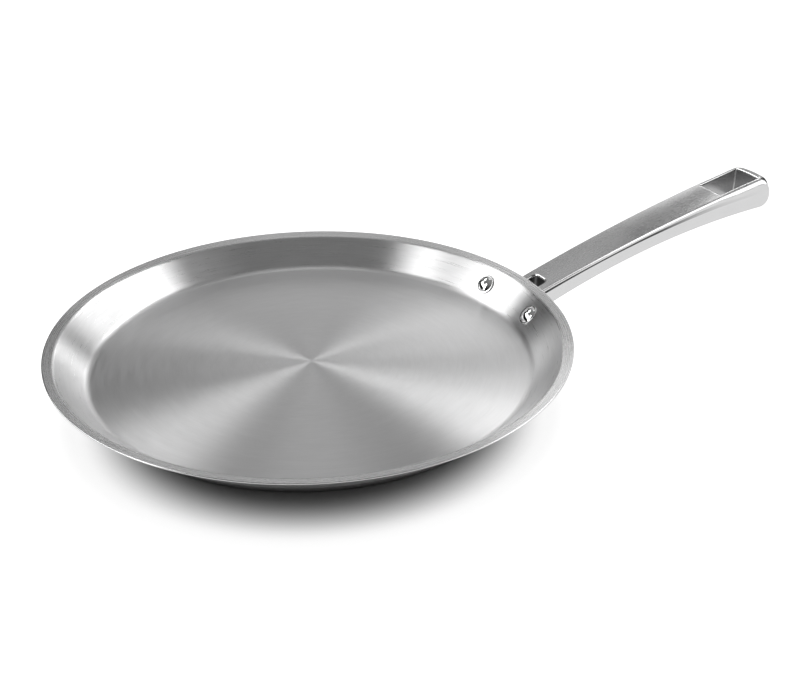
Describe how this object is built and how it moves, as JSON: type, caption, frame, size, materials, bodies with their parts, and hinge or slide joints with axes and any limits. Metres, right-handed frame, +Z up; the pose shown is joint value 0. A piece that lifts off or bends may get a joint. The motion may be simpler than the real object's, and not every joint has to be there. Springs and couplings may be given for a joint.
{
  "type": "crepe pan",
  "caption": "Low round steel crepe pan with a sloping wall, flat lip, sandwich base and a rising riveted handle that ends in a hanging loop.",
  "frame": {"origin": "centre of the base's flat underside", "axes": "+X along the handle, away from the pan; +Z up, out of the pan's open side"},
  "size_m": [0.4516, 0.2802, 0.061],
  "materials": {
    "body_steel": "stainless sheet, floor brushed in rings, wall and lip polished",
    "core_aluminium": "plain rolled, sealed in the base",
    "cap_steel": "magnetic stainless, brushed in rings",
    "handle_steel": "cast stainless, satin top with bright rolled edges",
    "rivet_steel": "stainless, mirror polished heads"
  },
  "bodies": {
    "root": {"pan_body": "body_steel", "base_core": "core_aluminium", "base_cap": "cap_steel", "handle": "handle_steel", "rivet_left": "rivet_steel", "rivet_right": "rivet_steel"}
  },
  "joints": []
}
